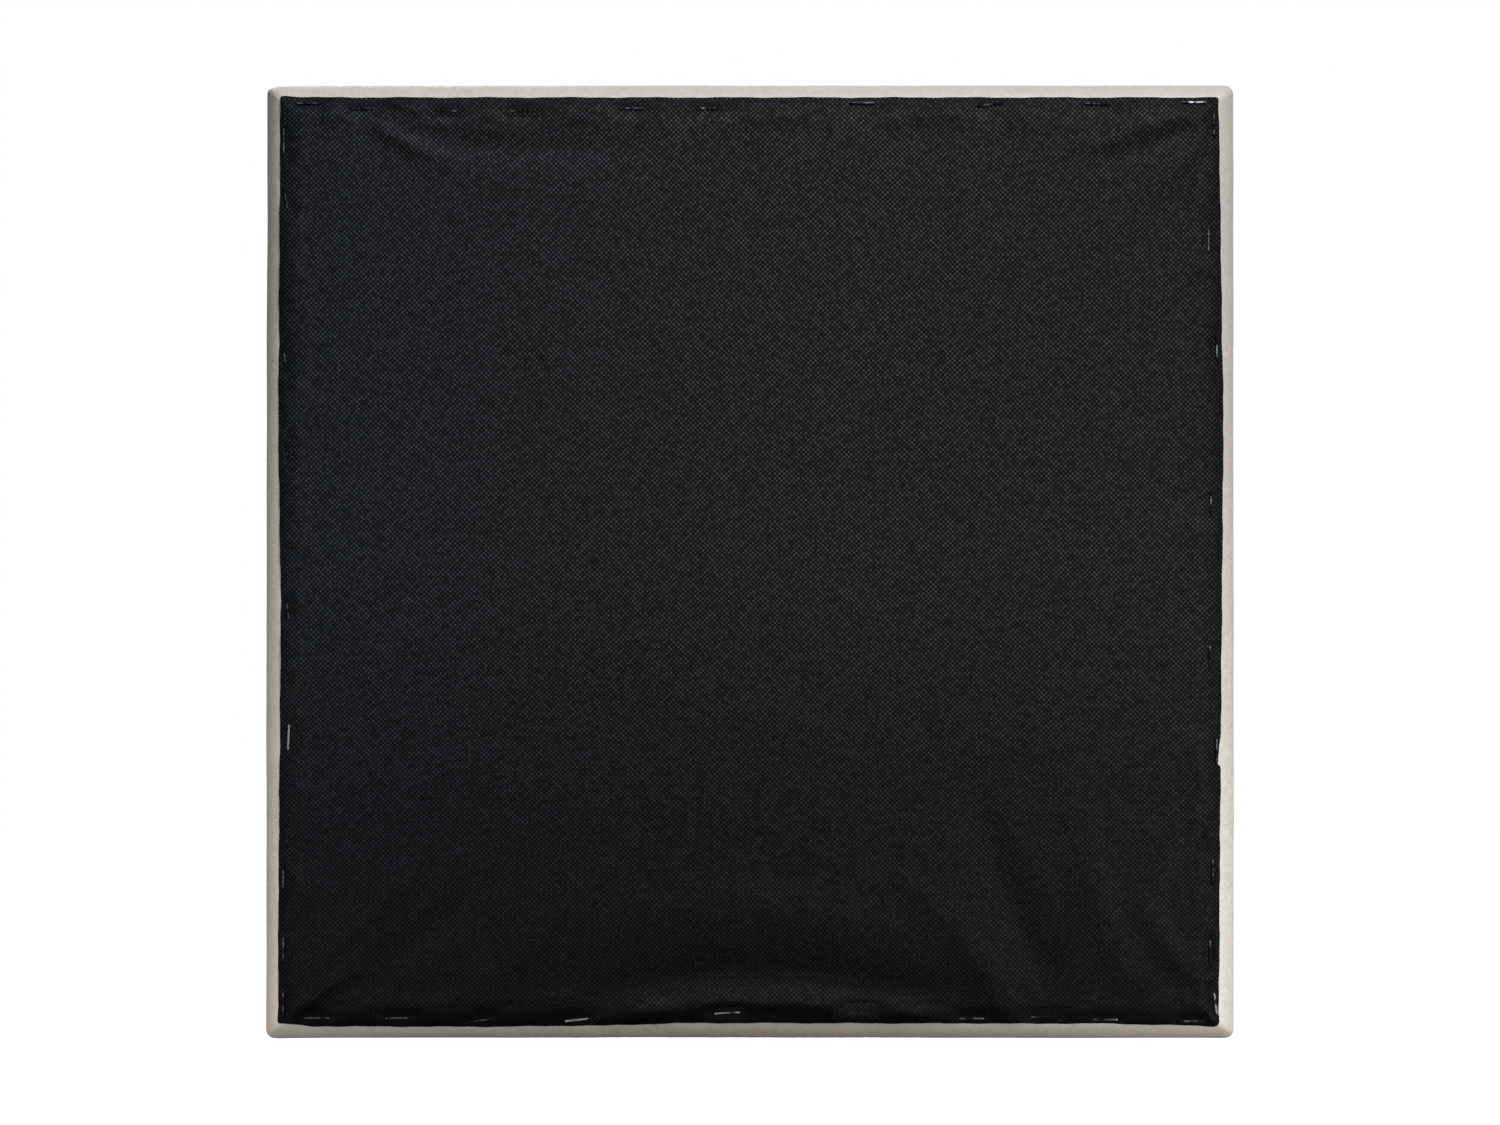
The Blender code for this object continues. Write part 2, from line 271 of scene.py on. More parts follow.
def loft(name, rings):
    """A closed mesh through rings of equal count, with its first and last ring filled."""
    count = len(rings[0])
    points = np.concatenate(rings)
    index = np.arange(count)
    following = (index + 1) % count
    faces = []
    for row in range(len(rings) - 1):
        near, far = row * count, (row + 1) * count
        quad = np.stack([near + index, near + following, far + following, far + index], axis=1)
        faces += quad.tolist()
    faces.append(((len(rings) - 1) * count + index).tolist())
    faces.append(index[::-1].tolist())
    mesh = bpy.data.meshes.new(name)
    mesh.from_pydata(points.tolist(), [], faces)
    mesh.validate()
    mesh.update()
    piece = bpy.data.objects.new(name, mesh)
    bpy.context.scene.collection.objects.link(piece)
    face_outwards(piece)
    bpy.ops.object.shade_smooth_by_angle(angle=math.radians(50))
    return piece


low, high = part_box("face_foam")
core_inset = cover_high.x - high.x
foam_places = perimeter(6, np.linspace(0, 1, 12, endpoint=False))
foam_back = (core_inset, -high.y, SHARPEST_CORNER)
foam_stations = [foam_back] + inwards(front_roll(8, 10), core_inset)
face_foam = loft("face_foam_slab", [ring_points(foam_places, *s) for s in foam_stations])
cream_foam = foam_material("cream_foam", (0.78, 0.71, 0.50), (0.50, 0.43, 0.27), 0.7 * MM)
finished(face_foam, cream_foam, "cream_foam", "face_foam")


# ---------------------------------------------------------------------------------------------
# Wadding wrap.  Bonded polyester wadding, 2.5 mm once it is pulled down.  It goes over the foam
# and round the board's edge, where it is trimmed flush, and rounds off what the cover goes over.

# The pad's back edge in cross-section: the turn-in lies flat behind the board, then rolls off
# more and more steeply from under the dust cover's edge, and turns down the side
TURN_IN_DEPTH = 1.2 * MM
SLOPE = [(8.5, 0), (7.5, 12), (6.2, 20), (5.2, 30), (4.0, 37),
         (3.0, 43), (2.0, 49), (1.2, 54), (0.5, 60)]      # (inset in mm, tilt in degrees)
EDGE_TURN = 3.7 * MM
CORNER_LOSS = 0.45                     # of each inset, by which the corner's radius gets smaller
LEATHERETTE = 0.9 * MM


def back_edge(every=1):
    """The profile over the back edge, wall side first: (inset, depth, corner, side, front)."""
    stations = []
    depth = TURN_IN_DEPTH
    for number, (inset, tilt) in enumerate(SLOPE):
        if number:
            last_inset, last_tilt = SLOPE[number - 1]
            depth += (last_inset - inset) * MM * math.tan(math.radians((tilt + last_tilt) / 2))
        corner = max(BACK_CORNER - CORNER_LOSS * inset * MM, SHARPEST_CORNER)
        turn = math.radians(tilt)
        stations.append((inset * MM, depth, corner, math.sin(turn), -math.cos(turn)))
    last_turn = math.radians(SLOPE[-1][1])
    for tilt in (67, 75, 83, 90):
        turn = math.radians(tilt)
        inset = EDGE_TURN * (1 - math.sin(turn))
        turn_depth = depth + EDGE_TURN * (math.cos(last_turn) - math.cos(turn))
        stations.append((inset, turn_depth, BACK_CORNER, math.sin(turn), -math.cos(turn)))
    return stations if every == 1 else stations[::every] + stations[-1:]


SLOPE_START = SLOPE[0][0] * MM
SIDE_START = back_edge()[-1][1]


def side_wall(steps):
    """The straight side between the board's edge and the front roll."""
    end = EDGE_DEPTH - FRONT_ROLL
    rows = []
    for step in range(1, steps):
        rows.append((0.0, SIDE_START + (end - SIDE_START) * step / steps, BACK_CORNER, 1, 0))
    return rows


# How far the wadding's faces lie inside the pad's surface, and how far behind the board it reaches
WADDING_OUTSIDE = 1.4 * MM
WADDING_INSIDE = 3.9 * MM
WADDING_ON_EDGE = 1.2 * MM
WADDING_TRIM = 2.8 * MM
wadding_places = perimeter(8, np.linspace(0, 1, 40, endpoint=False))
on_foam = side_wall(3) + front_roll(8, 14)
round_the_edge = [row for row in back_edge() if row[0] < WADDING_TRIM]
inner = inwards(on_foam, WADDING_INSIDE)[::-1]
outer = inwards(round_the_edge, WADDING_ON_EDGE) + inwards(on_foam, WADDING_OUTSIDE)
wadding_rings = [ring_points(wadding_places, *s) for s in inner + outer]
wadding = loft("wadding_wrap_layer", wadding_rings)
white_wadding, n, link = new_material("white_wadding")
shader = n["Principled BSDF"]
place = add(n, "ShaderNodeTexCoord")
fibres = add(n, "ShaderNodeTexNoise")
fibres.inputs["Scale"].default_value = 900
fibres.inputs["Detail"].default_value = 6
fibres.inputs["Distortion"].default_value = 3
tone = ramp(n, (0.3, (0.66, 0.66, 0.64)), (0.7, (0.88, 0.88, 0.86)))
bump = add(n, "ShaderNodeBump")
bump.inputs["Strength"].default_value = 0.8
bump.inputs["Distance"].default_value = 0.6 * MM
link.new(place.outputs["Object"], fibres.inputs["Vector"])
link.new(fibres.outputs["Fac"], tone.inputs["Fac"])
link.new(fibres.outputs["Fac"], bump.inputs["Height"])
link.new(tone.outputs["Color"], shader.inputs["Base Color"])
link.new(bump.outputs["Normal"], shader.inputs["Normal"])
shader.inputs["Roughness"].default_value = 0.95
finished(wadding, white_wadding, "white_wadding", "wadding_wrap")


# ---------------------------------------------------------------------------------------------
# Leatherette cover.  One sheet of greige leatherette pulled over the front, folded into a pleat
# at each corner, turned in behind the board and stapled there.  Padded, so it swells in front.

TURN_IN_WIDTH = 30 * MM
side_length = 2 * PAD_HALF_WIDTH
near_corner = np.array([0, 0.5, 1.0, 1.6, 2.3, 3.1, 4.0, 5.0, 6.2, 7.6, 9.2]) * MM
middle_places = np.linspace(11 * MM, side_length - 11 * MM, 176)
side_points = np.concatenate([near_corner, middle_places, side_length - near_corner[:0:-1]])
cover_places = perimeter(20, side_points / side_length)


def turn_in(steps):
    """The flat part of the sheet behind the board, from its cut edge outwards."""
    rows = []
    for step in range(steps):
        inset = TURN_IN_WIDTH + (SLOPE_START - TURN_IN_WIDTH) * step / steps
        rows.append((inset, TURN_IN_DEPTH, SHARPEST_CORNER, 0, -1))
    return rows


# How steep the back edge is round the outline, as (place, times the usual fall): the sheet was
# pulled tighter in some places than others
LEAN = [(0.0, 1.3), (0.1, 1.1), (0.25, 1.0), (0.9, 1.0),
        (1.1, 1.05), (1.5, 0.95), (1.9, 0.75), (2.1, 0.85),
        (2.3, 1.05), (2.65, 1.2), (2.9, 1.05), (3.1, 0.8),
        (3.5, 0.95), (3.7, 1.1), (3.9, 1.35), (4.0, 1.3)]
LEAN_FADE = 20 * MM                    # how far down the side the lean is lost


def leaning(grid, profile):
    """How far the steeper or slacker places move the back edge towards the front."""
    factor = np.interp(cover_places, *np.array(LEAN).T)
    fall = SIDE_START - TURN_IN_DEPTH
    moved = np.zeros(grid.shape[:2])
    for row, (_, depth, _, _, _) in enumerate(profile):
        if depth < SIDE_START + 1e-6:
            moved[row] = (depth - TURN_IN_DEPTH) * (factor - 1)
        else:
            moved[row] = fall * (factor - 1) * max(0, 1 - (depth - SIDE_START) / LEAN_FADE)
    return moved


def outward(grid):
    """Unit normals of a grid of points that closes round the pad."""
    around = np.roll(grid, -1, axis=1) - np.roll(grid, 1, axis=1)
    normal = np.cross(around, np.gradient(grid, axis=0))
    normal /= np.linalg.norm(normal, axis=2, keepdims=True) + 1e-12
    from_middle = grid - np.array([0, -FRONT_DEPTH / 2, 0])
    return normal * np.sign((from_middle * normal).sum())


MITRE = 0.1                            # the corner's middle, in the places of perimeter()
PLEAT_STEP = 0.35 * MM
PLEAT_RISE = 0.40 * MM
PLEAT_GROOVE = 0.25 * MM
PLEAT_RUN = 9 * MM                     # over which the doubled sheet goes back to flat


def pleat_height(grid, profile):
    """The fold at each corner, where the sheet doubles over itself and stands a little proud."""
    inset, depth = np.array([(row[0], row[1]) for row in profile]).T
    on_slope = np.clip(inset / SLOPE_START, 0, 1) * (depth < SIDE_START)
    on_face = np.clip((depth - (EDGE_DEPTH - FRONT_ROLL)) / FRONT_ROLL, 0, 1)
    strength = (0.2 + 0.8 * np.clip((depth - SIDE_START) / (8 * MM), 0, 1)) * (1 - on_face) ** 1.5
    steps = np.linalg.norm(np.roll(grid, -1, axis=1) - grid, axis=2)
    run = np.cumsum(steps, axis=1) - steps
    total = steps.sum(axis=1)
    height = np.zeros(run.shape)
    for quarter in range(4):
        # on the sides the pleat lies at one end of the corner's arc, and behind on its mitre
        side, way = (0.2, 1) if quarter % 2 == 0 else (0.0, -1)
        fold_place = quarter + side + (MITRE - side) * on_slope
        for row in range(len(profile)):
            fold_run = np.interp(fold_place[row], cover_places, run[row])
            past = ((run[row] - fold_run + total[row] / 2) % total[row] - total[row] / 2) * way
            rise = 1 - np.exp(-np.clip(past, 0, None) / PLEAT_STEP)
            over = PLEAT_RISE * np.exp(-past / PLEAT_RUN) * rise
            under = -PLEAT_GROOVE * np.exp(-((past + PLEAT_STEP) / (2 * PLEAT_STEP)) ** 2)
            height[row] += strength[row] * np.where(past > 0, over, under)
    return height


# Each crease of a gathered corner: (place past the corner's start, share of the depth, width)
GATHERS = [(-0.012, 0.5, 0.006), (0.045, 0.9, 0.008), (0.1, 0.7, 0.009),
           (0.152, 1.0, 0.008), (0.213, 0.5, 0.005)]
GATHER_DEPTH = 0.45 * MM


def gather_height(profile):
    """Short creases over the front roll at each corner, where the sheet is gathered."""
    depth = np.array([row[1] for row in profile])
    inset = np.array([row[0] for row in profile])
    on_roll = np.clip((depth - (EDGE_DEPTH - 1.6 * FRONT_ROLL)) / FRONT_ROLL, 0, 1)
    strength = on_roll * np.exp(-np.clip(inset - 4 * MM, 0, None) / (9 * MM))
    quarter_share = cover_places % 1.0
    crease = np.zeros(cover_places.shape)
    for place, deep, width in GATHERS:
        away = (quarter_share - place + 0.5) % 1.0 - 0.5
        crease -= deep * np.exp(-(away / width) ** 2)
    return GATHER_DEPTH * strength[:, None] * crease[None, :]


HIDDEN_STAPLES = (-130, -43, 43, 130)   # along each side, in mm from its middle


def hand_made_waves(grid, profile):
    """Slight waves where the sheet was pulled by hand, with a hollow towards each hidden staple."""
    height = np.zeros(grid.shape[:2])
    for row in range(grid.shape[0]):
        on_back = 1.0 if profile[row][1] < SIDE_START and profile[row][0] > 0 else 0.5
        for column, (x, y, z) in enumerate(grid[row]):
            long_wave = noise.noise((x * 26, y * 40, z * 26))
            short_wave = noise.noise((x * 90 + 7, y * 90, z * 90))
            height[row, column] = on_back * (0.20 * long_wave + 0.05 * short_wave) * MM
    inset, depth = np.array([(row[0], row[1]) for row in profile]).T[:, :, None]
    on_slope = np.clip(inset / SLOPE_START, 0, 1) * (depth < SIDE_START)
    x, z = grid[:, :, 0], grid[:, :, 2]
    along = np.where(np.abs(x) / PAD_HALF_WIDTH > np.abs(z) / PAD_HALF_HEIGHT, z, x)
    for staple in HIDDEN_STAPLES:
        height -= 0.12 * MM * on_slope * np.exp(-((along - staple * MM) / (7 * MM)) ** 2)
    return height


VOXEL = 5.5 * MM
HELD_DEPTH = 15 * MM                   # from the wall to this depth the board holds the sheet
SIM_FRAMES = 20
FACE_SWELL = 3.2 * MM                  # the most that the face, and then a side, may swell
SIDE_SWELL = 0.7 * MM
SUNK = 0.5 * MM                        # the most that a side may sink
SWELL_FADE = 55 * MM                   # from the outline to where the face is fully swollen


def swell(points):
    """How far each point moves when the foam presses the sheet outwards: a coarse pad, held
    where the board is, is blown up as cloth, and its movement is read off."""
    coarse_places = perimeter(5, np.linspace(0, 1, 24, endpoint=False))
    coarse_profile = turn_in(2) + back_edge(2) + side_wall(6) + front_roll(6, 14)
    balloon = loft("balloon", [ring_points(coarse_places, *s) for s in inwards(coarse_profile, 0)])
    remesh = balloon.modifiers.new("remesh", "REMESH")
    remesh.mode = "VOXEL"
    remesh.voxel_size = VOXEL
    bpy.ops.object.modifier_apply(modifier="remesh")
    before = np.array([v.co for v in balloon.data.vertices])
    held = balloon.vertex_groups.new(name="held")
    held.add([int(i) for i in np.flatnonzero(before[:, 1] > -HELD_DEPTH)], 1.0, "REPLACE")
    cloth = balloon.modifiers.new("cloth", "CLOTH")
    cloth.settings.quality = 6
    cloth.settings.mass = 0.4
    cloth.settings.tension_stiffness = 12
    cloth.settings.compression_stiffness = 12
    cloth.settings.shear_stiffness = 6
    cloth.settings.bending_stiffness = 0.6
    cloth.settings.use_pressure = True
    cloth.settings.uniform_pressure_force = 4
    cloth.settings.vertex_group_mass = "held"
    cloth.settings.effector_weights.gravity = 0
    cloth.point_cache.frame_start = 1
    cloth.point_cache.frame_end = SIM_FRAMES
    scene = bpy.context.scene
    for frame_number in range(1, SIM_FRAMES + 1):
        scene.frame_set(frame_number)
    blown = balloon.evaluated_get(bpy.context.evaluated_depsgraph_get())
    after = np.array([v.co for v in blown.data.vertices])
    scene.frame_set(1)
    moved = after - before
    tree = kdtree.KDTree(len(before))
    for number, place in enumerate(before):
        tree.insert(place, number)
    tree.balance()
    mesh = balloon.data
    bpy.data.objects.remove(balloon)
    bpy.data.meshes.remove(mesh)
    read = np.zeros(points.shape)
    for number, point in enumerate(points):
        found = tree.find_n(point, 10)
        weights = np.array([1 / (distance + 2 * MM) ** 2 for _, _, distance in found])
        read[number] = weights @ moved[[index for _, index, _ in found]] / weights.sum()
    return read


cover_profile = turn_in(4) + back_edge() + side_wall(14) + front_roll(12, 30)
cover_grid = np.stack([ring_points(cover_places, *s) for s in inwards(cover_profile, 0)])
cover_grid[..., 1] -= leaning(cover_grid, cover_profile)
normals = outward(cover_grid)
height = pleat_height(cover_grid, cover_profile) + gather_height(cover_profile)
height += hand_made_waves(cover_grid, cover_profile)
pressed = swell(cover_grid.reshape(-1, 3)).reshape(cover_grid.shape)
from_edge = np.minimum(PAD_HALF_WIDTH - np.abs(cover_grid[..., 0]),
                       PAD_HALF_HEIGHT - np.abs(cover_grid[..., 2]))
fade = np.clip(from_edge / SWELL_FADE, 0, 1)
out_of_face = FACE_SWELL * np.tanh(-pressed[..., 1] / (2 * FACE_SWELL)) * fade * (2 - fade)
outwards = np.sign(cover_grid[..., [0, 2]])
out_of_side = np.clip(pressed[..., [0, 2]] * outwards, -SUNK, SIDE_SWELL) * outwards
cover_grid = cover_grid + normals * height[..., None]
cover_grid[..., 1] -= out_of_face
cover_grid[..., [0, 2]] += out_of_side
inside_rows = list(range(0, len(cover_profile), 3)) + [len(cover_profile) - 1]
inside_grid = (cover_grid - LEATHERETTE * outward(cover_grid))[inside_rows]
cover = loft("leatherette_cover_skin", list(inside_grid[::-1]) + list(cover_grid))

leatherette, n, link = new_material("greige_leatherette")
shader = n["Principled BSDF"]
place = add(n, "ShaderNodeTexCoord")
pebbles = add(n, "ShaderNodeTexVoronoi", feature="DISTANCE_TO_EDGE")
pebbles.inputs["Scale"].default_value = 1400
wobble = add(n, "ShaderNodeTexNoise")
wobble.inputs["Scale"].default_value = 500
wobble.inputs["Detail"].default_value = 3
bend = add(n, "ShaderNodeVectorMath", operation="MULTIPLY_ADD")
bend.inputs[1].default_value = (0.0009, 0.0009, 0.0009)
link.new(place.outputs["Object"], wobble.inputs["Vector"])
link.new(wobble.outputs["Color"], bend.inputs[0])
link.new(place.outputs["Object"], bend.inputs[2])
link.new(bend.outputs["Vector"], pebbles.inputs["Vector"])
furrow = add(n, "ShaderNodeMapRange", in_1=0.0, in_2=0.12, in_3=0.0, in_4=1.0)
link.new(pebbles.outputs["Distance"], furrow.inputs[0])
cloud = add(n, "ShaderNodeTexNoise")
cloud.inputs["Scale"].default_value = 60
cloud.inputs["Detail"].default_value = 5
link.new(place.outputs["Object"], cloud.inputs["Vector"])
hide_tone = ramp(n, (0.3, (0.565, 0.535, 0.485)), (0.7, (0.595, 0.563, 0.513)))
link.new(cloud.outputs["Fac"], hide_tone.inputs["Fac"])
# The grain's furrows are painted a tenth darker, as painted shade in their hollows
furrow_painted_shade = add(n, "ShaderNodeMapRange", in_1=0.0, in_2=1.0, in_3=0.9, in_4=1.0)
link.new(furrow.outputs[0], furrow_painted_shade.inputs[0])
mottle = add(n, "ShaderNodeTexNoise")
mottle.inputs["Scale"].default_value = 420
mottle.inputs["Detail"].default_value = 5
mottle.inputs["Roughness"].default_value = 0.65
link.new(place.outputs["Object"], mottle.inputs["Vector"])
mottle_tone = add(n, "ShaderNodeMapRange", in_1=0.3, in_2=0.7, in_3=0.90, in_4=1.07)
link.new(mottle.outputs["Fac"], mottle_tone.inputs[0])
mottle_and_furrow_shade = add(n, "ShaderNodeMath", operation="MULTIPLY")
link.new(furrow_painted_shade.outputs[0], mottle_and_furrow_shade.inputs[0])
link.new(mottle_tone.outputs[0], mottle_and_furrow_shade.inputs[1])
shade = add(n, "ShaderNodeMix", data_type="RGBA", blend_type="MULTIPLY", in_0=1.0)
link.new(hide_tone.outputs["Color"], shade.inputs["A"])
link.new(mottle_and_furrow_shade.outputs[0], shade.inputs["B"])
link.new(shade.outputs["Result"], shader.inputs["Base Color"])
rough = add(n, "ShaderNodeMapRange", in_1=0.3, in_2=0.7, in_3=0.42, in_4=0.55)
link.new(cloud.outputs["Fac"], rough.inputs[0])
link.new(rough.outputs[0], shader.inputs["Roughness"])
bump = add(n, "ShaderNodeBump")
bump.inputs["Strength"].default_value = 0.35
bump.inputs["Distance"].default_value = 0.06 * MM
link.new(furrow.outputs[0], bump.inputs["Height"])
link.new(bump.outputs["Normal"], shader.inputs["Normal"])
finished(cover, leatherette, "greige_leatherette", "leatherette_cover")


# ---------------------------------------------------------------------------------------------
# Staples.  Zinc-plated flat wire, driven by hand, four on each side for the turn-in and one
# about every 40 mm for the dust cover.  The plating is painted nearly black as painted shade, with
# a few scuffed bright spots, and six staples are painted bright as painted glints.

def wear(node, material):
    """The CAD node keeps its shape and takes this material on every slot."""
    node.data.materials.clear()
    node.data.materials.append(material)


def wire_material(name, dull, bright, low_end, high_end):
    """Plated wire: dull, with a share of it rubbed bright as the noise goes from low to high."""
    made, n, link = new_material(name)
    shader = n["Principled BSDF"]
    place = add(n, "ShaderNodeTexCoord")
    scuff = add(n, "ShaderNodeTexNoise")
    scuff.inputs["Scale"].default_value = 230
    scuff.inputs["Detail"].default_value = 4
    link.new(place.outputs["Object"], scuff.inputs["Vector"])
    tone = ramp(n, (low_end, dull), (high_end, bright))
    link.new(scuff.outputs["Fac"], tone.inputs["Fac"])
    link.new(tone.outputs["Color"], shader.inputs["Base Color"])
    rough = add(n, "ShaderNodeMapRange", in_1=low_end, in_2=high_end, in_3=0.55, in_4=0.28)
    link.new(scuff.outputs["Fac"], rough.inputs[0])
    link.new(rough.outputs[0], shader.inputs["Roughness"])
    shader.inputs["Metallic"].default_value = 1.0
    return made


# Two copies of one plated wire: the nearly black one is painted shade, the bright one painted
# glints; the noise spots on each are wear
zinc_with_wear_and_painted_shade = wire_material("zinc_steel_wear_and_painted_shade", (0.012, 0.012, 0.015), (0.20, 0.21, 0.25), 0.48, 0.66)
zinc_with_wear_and_painted_glint = wire_material("zinc_steel_wear_and_painted_glint", (0.02, 0.02, 0.024), (0.85, 0.86, 0.90),
                            0.40, 0.56)
# The staples painted bright, as painted glints
PAINTED_GLINT_STAPLES = ("dust_staple_top_10", "dust_staple_right_09", "dust_staple_left_06",
           "dust_staple_bottom_04", "dust_staple_bottom_05", "dust_staple_bottom_06")
for name, node in nodes.items():
    if "staple" in name:
        wear(node, zinc_with_wear_and_painted_glint if name in PAINTED_GLINT_STAPLES else zinc_with_wear_and_painted_shade)


# ---------------------------------------------------------------------------------------------
# Dust cover.  One sheet of black spunbond cloth with a diamond lattice of bonded points, its
# edge turned under, pulled flat by eye and stapled.  It billows between its staples.

# How far the sheet's edge strays from its nominal line, as (place, distance) in millimetres
TOP_EDGE = [(-195, -0.55), (150, -0.55), (183, -0.45), (192, 0.15)]
BOTTOM_EDGE = [(-192, -0.45), (-150, -1.55), (-30, -1.85), (30, -1.85),
               (60, -0.85), (110, -0.25), (180, -0.45), (192, -1.55)]
LEFT_EDGE = [(-192, -0.35), (-140, -0.55), (-80, -1.15), (-20, -1.65),
             (20, -1.05), (55, -0.55), (130, -1.05), (190, -1.35)]
RIGHT_EDGE = [(-190, -1.7), (-130, -1.35), (-70, -0.85), (0, -0.25),
              (60, 0.25), (100, -0.45), (150, -1.15), (190, -1.85)]
dust_low, dust_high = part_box("dust_cover")
DUST_HALF_WIDTH = (dust_high.x - dust_low.x) / 2
DUST_HALF_HEIGHT = (dust_high.z - dust_low.z) / 2
CLOTH = 0.28 * MM
STAPLE_BED = 0.74 * MM                 # how deep a staple's crown presses the cloth
REST = 0.15 * MM                       # how deep the cloth lies at its edge
STAND_OFF = 2.2 * MM                   # how much higher the slack middle lies than the edge
LOWEST = 0.75 * MM                     # the turn-in's staples lie under this depth
EDGE_DROOP = 1.2 * MM
STRAY_FADE = 30 * MM


def edge_stray(points, where):
    """The edge's distance from its nominal line, with a slight ripple."""
    places, distances = np.array(points).T * MM
    smooth = np.interp(where, places, distances)
    ripple = 0.12 * MM * np.sin(where / (5.3 * MM)) + 0.08 * MM * np.sin(where / (1.9 * MM) + 1)
    return smooth + ripple


def bezier(start, bend, end, count=24):
    """Points in metres along a bowed fold, given by its ends and what it bends towards, in mm."""
    share = np.linspace(0, 1, count)[:, None]
    start, bend, end = (np.array(p) * MM for p in (start, bend, end))
    return (1 - share) ** 2 * start + 2 * share * (1 - share) * bend + share ** 2 * end


def along_path(x, z, path):
    """Each point's signed distance from a path, and how far along the path it lies, 0 to 1."""
    best = np.full(x.shape, 1e9)
    signed = np.zeros(x.shape)
    share = np.zeros(x.shape)
    total = len(path) - 1
    for number in range(total):
        ax, az = path[number]
        dx, dz = path[number + 1] - path[number]
        length = math.hypot(dx, dz)
        t = np.clip(((x - ax) * dx + (z - az) * dz) / length ** 2, 0, 1)
        off_x = x - ax - t * dx
        off_z = z - az - t * dz
        distance = np.hypot(off_x, off_z)
        nearer = distance < best
        best = np.where(nearer, distance, best)
        side = np.sign(dx * (z - az) - dz * (x - ax))
        signed = np.where(nearer, side * distance, signed)
        share = np.where(nearer, (number + t) / total, share)
    return signed, share


# Folds in the cloth: start, bend and end as (x, z), half width, height, all in millimetres
FOLDS = [
    ((157, 184), (150, 173), (124, 166), 2.6, 2.6),
    ((148, 190), (140, 187), (129, 182), 2.0, 2.0),
    ((145, 181), (120, 165), (46, 172), 5.0, -1.7),
    ((190, 187), (172, 184), (156, 186), 2.5, 1.5),
    ((-138, 170), (-166, 180), (-190, 188), 4.0, 2.8),
    ((-146, 164), (-168, 172), (-184, 180), 3.5, -1.8),
    ((-158, 148), (-176, 160), (-188, 176), 3.5, 1.8),
    ((-168, 136), (-178, 150), (-186, 167), 3.0, -1.4),
    ((66, -190), (0, -174), (-80, -188), 3.4, 2.7),
    ((62, -178), (-4, -158), (-90, -184), 7.5, -2.7),
    ((80, -156), (0, -126), (-96, -166), 11.0, 1.7),
    ((-62, -130), (-90, -150), (-108, -188), 7.0, 2.1),
    ((-92, -94), (-102, -140), (-133, -187), 8.0, -2.5),
    ((-134, -92), (-138, -132), (-156, -172), 8.0, 1.6),
    ((-158, -134), (-172, -162), (-189, -176), 5.0, 1.6),
    ((187, -186), (176, -176), (162, -167), 2.4, 2.0),
    ((180, -168), (150, -140), (132, -122), 4.5, 1.3),
    ((170, -182), (130, -150), (104, -130), 5.5, -1.5),
    ((114, -182), (85, -151), (52, -118), 6.5, 1.3),
    ((190, 78), (184, 70), (176, 62), 2.2, 0.9),
    ((-190, 118), (-180, 112), (-172, 98), 3.0, -1.2),
    ((-190, 40), (-182, 34), (-176, 20), 3.0, -1.2),
    ((-190, -36), (-180, -40), (-168, -58), 4.0, -1.6),
    ((-190, -110), (-182, -118), (-172, -134), 4.0, -1.6),
]


def staple_lines():
    """Both ends of each dust cover staple's crown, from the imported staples."""
    lines = []
    for name, node in nodes.items():
        if not name.startswith("dust_staple"):
            continue
        points = np.array([v.co for v in node.data.vertices])
        crown = points[points[:, 1] > points[:, 1].max() - 0.3 * MM][:, [0, 2]]
        middle_point = crown.mean(axis=0)
        direction = np.linalg.svd(crown - middle_point)[2][0]
        reach = (crown - middle_point) @ direction
        lines.append([middle_point + direction * end for end in (reach.min(), reach.max())])
    return lines


def cloth_height(x, z):
    """How far the cloth stands out from the wall plane y = 0, at each point."""
    edge = np.minimum(DUST_HALF_WIDTH - np.abs(x), DUST_HALF_HEIGHT - np.abs(z))
    height = STAND_OFF * (1 - np.exp(-np.clip(edge, 0, None) / (12 * MM))) - REST
    for start, bend_point, end, width, rise in FOLDS:
        signed, share = along_path(x, z, bezier(start, bend_point, end))
        fade = np.sin(np.pi * np.clip(share * 0.9 + 0.05, 0, 1)) ** 0.7
        height += rise * MM * fade * np.exp(-((signed / (width * MM)) ** 2))
    gentle = np.array([noise.noise((px * 55, 0.0, pz * 55)) for px, pz in zip(x, z)])
    fine = np.array([noise.noise((px * 260, 3.0, pz * 260)) for px, pz in zip(x, z)])
    puff = np.exp(-((edge - 8 * MM) / (5 * MM)) ** 2)
    height += 0.30 * MM * gentle + 0.05 * MM * fine + puff * (0.9 + 1.5 * gentle + 0.6 * fine) * MM
    height = np.maximum(height, -LOWEST)
    nearest = np.full(x.shape, 1e9)
    for start, end in staple_lines():
        signed, _ = along_path(x, z, np.array([start, end]))
        nearest = np.minimum(nearest, np.abs(signed))
    grip = np.exp(-(np.clip(nearest - 0.7 * MM, 0, None) / (3.2 * MM)) ** 1.4)
    droop = EDGE_DROOP * np.exp(-(np.clip(edge, 0, None) / (2.2 * MM)) ** 1.5)
    return height * (1 - grip) - STAPLE_BED * grip - droop


def fine_edges(half, pitch_edge, pitch_middle, band):
    """Places from -half to half, close together near both ends."""
    first = np.arange(0, 3 * MM, 0.5 * MM)
    near = np.arange(3 * MM, band, pitch_edge)
    edge = np.concatenate([first, near])
    count = int(round((2 * half - 2 * band) / pitch_middle))
    middle_places = np.linspace(-half + band, half - band, count)
    return np.concatenate([edge - half, middle_places, (half - edge)[::-1]])


EDGE_PITCH = 0.9 * MM
MIDDLE_PITCH = 2.6 * MM
EDGE_BAND = 22 * MM
xs, zs = (fine_edges(half, EDGE_PITCH, MIDDLE_PITCH, EDGE_BAND)
          for half in (DUST_HALF_WIDTH, DUST_HALF_HEIGHT))
grid_x, grid_z = (g.ravel() for g in np.meshgrid(xs, zs, indexing="ij"))
